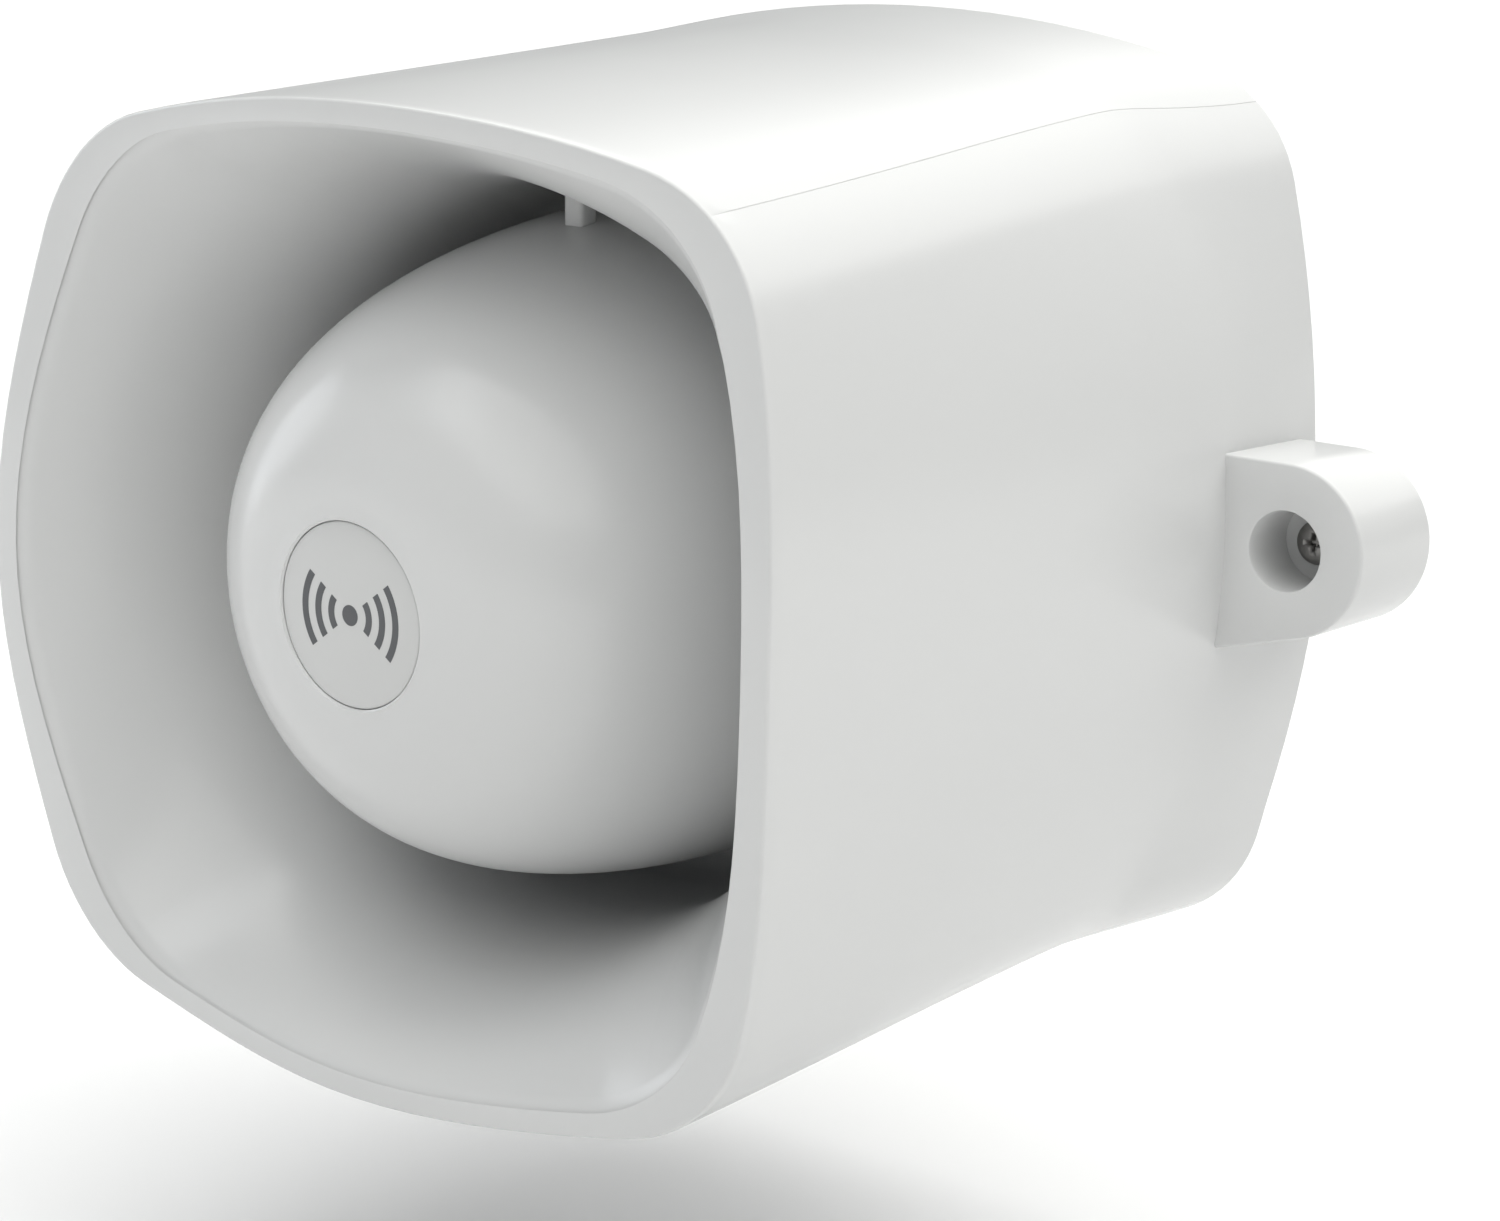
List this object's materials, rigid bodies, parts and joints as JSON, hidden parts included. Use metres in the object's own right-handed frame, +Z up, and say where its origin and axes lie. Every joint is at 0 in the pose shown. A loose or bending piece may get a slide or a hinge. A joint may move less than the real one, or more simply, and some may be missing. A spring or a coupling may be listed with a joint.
{
  "type": "alarm siren horn",
  "caption": "Wall-mounted self-contained siren: squared re-entrant horn housing with a round reflector dome, side screw ears, driver, siren board and tamper switch.",
  "frame": {"origin": "centre of the base plate's wall face, level with the two side ears", "axes": "+Y into the wall, so the horn faces -Y; +Z up; +X to the right of a person facing the horn"},
  "size_m": [0.176, 0.1206, 0.1352],
  "materials": {
    "white_plastic": "glossy moulded white ABS",
    "badge_white": "smooth white disc with a printed sound-wave mark",
    "plate_white": "fine-textured white ABS",
    "grey_plastic": "moulded grey plastic",
    "screw_steel": "dull plated steel",
    "zinc_steel": "zinc-plated steel",
    "ferrite": "ground ferrite ceramic",
    "copper_wire": "enamelled copper wire, wound",
    "diaphragm_resin": "pressed phenolic cloth",
    "black_rubber": "black rubber",
    "gasket_foam": "closed-cell foam",
    "board_green": "solder-masked glass-fibre board",
    "black_component": "moulded epoxy",
    "capacitor_sleeve": "shrink sleeve",
    "aluminium": "extruded aluminium",
    "terminal_green": "moulded green plastic",
    "winding_tape": "yellow winding tape and laminated core",
    "red_wire": "red insulated wire",
    "black_wire": "black insulated wire"
  },
  "bodies": {
    "housing": {"horn_housing": "white_plastic", "reflector_dome": "white_plastic", "badge_disc": "badge_white", "base_plate": "plate_white", "throat_tube": "white_plastic", "driver_gasket": "gasket_foam", "driver_cap": "grey_plastic", "diaphragm_surround": "diaphragm_resin", "top_plate": "zinc_steel", "magnet_ring": "ferrite", "yoke": "zinc_steel", "driver_lead_red": "red_wire", "driver_lead_black": "black_wire", "circuit_board": "board_green", "transformer": "winding_tape", "capacitor_large": "capacitor_sleeve", "capacitor_small": "capacitor_sleeve", "heat_sink": "aluminium", "transistor_left": "black_component", "transistor_right": "black_component", "tone_chip": "black_component", "terminal_block": "terminal_green", "tamper_body": "black_component", "tamper_spring": "zinc_steel", "housing_gasket": "gasket_foam", "cable_grommet": "black_rubber", "case_screw_left": "screw_steel", "case_screw_right": "screw_steel", "driver_screw_1": "screw_steel", "board_screw_1": "screw_steel", "clamp_screw_1": "screw_steel", "driver_screw_2": "screw_steel", "board_screw_2": "screw_steel", "clamp_screw_2": "screw_steel", "driver_screw_3": "screw_steel", "board_screw_3": "screw_steel", "clamp_screw_3": "screw_steel", "driver_screw_4": "screw_steel", "board_screw_4": "screw_steel", "clamp_screw_4": "screw_steel"},
    "diaphragm": {"diaphragm_dome": "diaphragm_resin", "voice_coil": "copper_wire"},
    "tamper_plunger": {"tamper_plunger": "grey_plastic"}
  },
  "joints": [
    {"name": "diaphragm_excursion", "type": "slide", "parent": "housing", "child": "diaphragm", "axis": [0, -1, 0], "range_m": [-0.0004, 0.0004], "stiffness_N_per_m": 2500, "deforming": ["diaphragm_surround"]},
    {"name": "tamper_press", "type": "slide", "parent": "housing", "child": "tamper_plunger", "axis": [0, -1, 0], "range_m": [0, 0.0025], "stiffness_N_per_m": 250, "deforming": ["tamper_spring"]}
  ]
}
